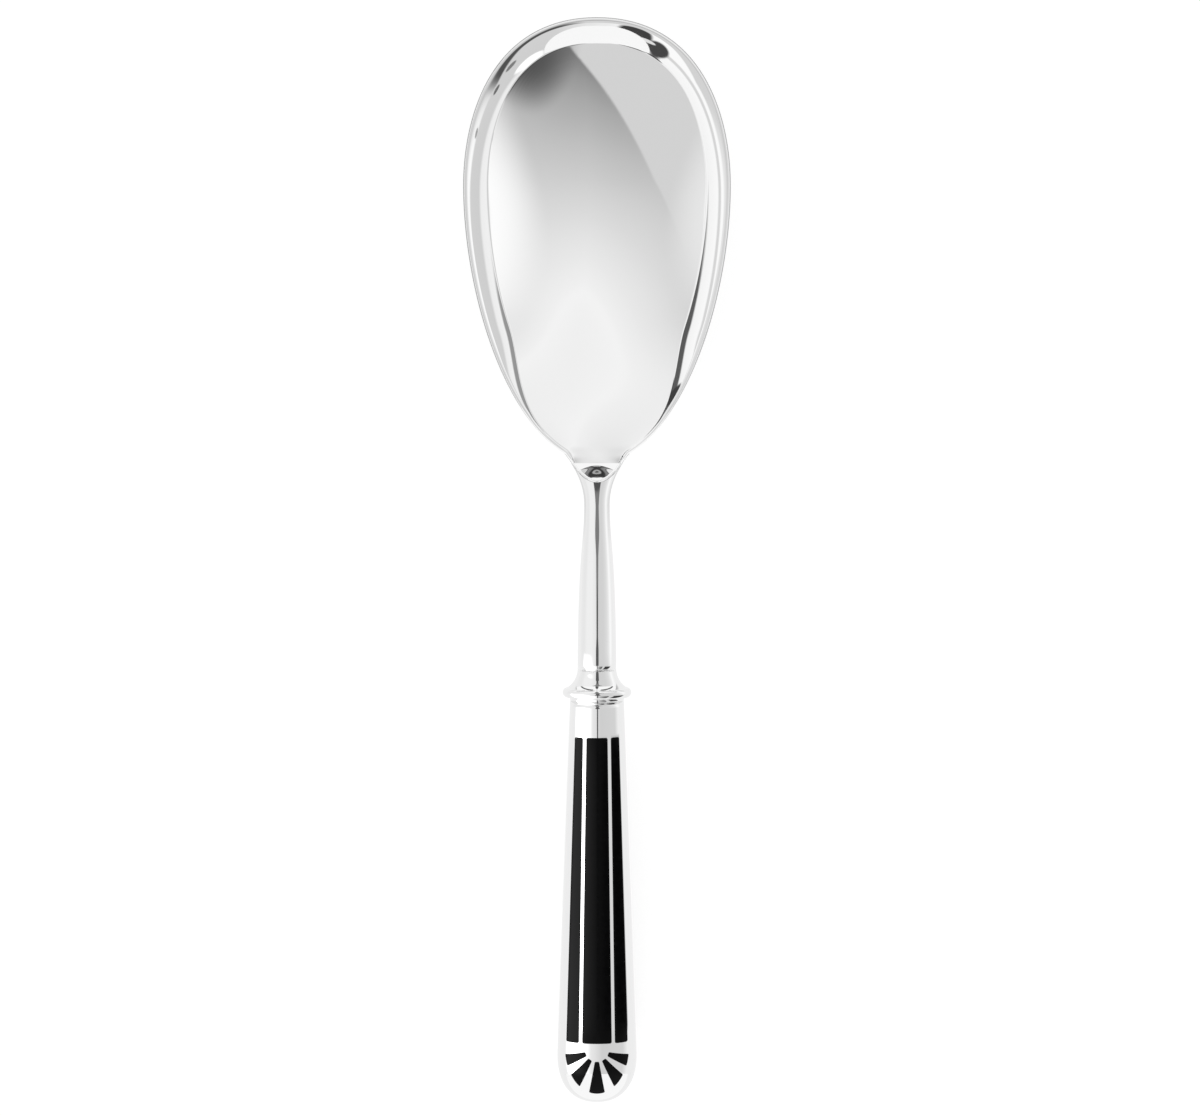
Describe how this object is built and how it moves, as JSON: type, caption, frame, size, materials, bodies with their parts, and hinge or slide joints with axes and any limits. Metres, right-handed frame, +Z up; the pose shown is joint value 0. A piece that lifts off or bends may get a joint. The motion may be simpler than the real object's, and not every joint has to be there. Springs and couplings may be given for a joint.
{
  "type": "serving ladle",
  "caption": "Silver-plated serving ladle with an egg-shaped flanged bowl, a round tapering stem, a beaded collar and a hollow oval handle inlaid with black lacquer.",
  "frame": {"origin": "on the table under the middle of the ladle's bounding box, with the ladle lying on its bowl and its butt", "axes": "+Y runs along the ladle towards the tip of the bowl, +Z is up out of the bowl, X is across"},
  "size_m": [0.0668, 0.2714, 0.025],
  "materials": {
    "silver_plate": "mirror-polished silver plate on nickel silver",
    "black_lacquer": "polished black lacquer inlay",
    "handle_cement": "hard handle cement, hidden inside the shells"
  },
  "bodies": {
    "root": {"bowl": "silver_plate", "stem": "silver_plate", "collar": "silver_plate", "handle_front_shell": "silver_plate", "handle_back_shell": "silver_plate", "cement_core": "handle_cement", "front_stripe_left": "black_lacquer", "front_stripe_centre": "black_lacquer", "front_stripe_right": "black_lacquer", "front_ray_1": "black_lacquer", "front_ray_2": "black_lacquer", "front_ray_3": "black_lacquer", "front_ray_4": "black_lacquer", "front_ray_5": "black_lacquer", "back_stripe_left": "black_lacquer", "back_stripe_centre": "black_lacquer", "back_stripe_right": "black_lacquer", "back_ray_1": "black_lacquer", "back_ray_2": "black_lacquer", "back_ray_3": "black_lacquer", "back_ray_4": "black_lacquer", "back_ray_5": "black_lacquer"}
  },
  "joints": []
}
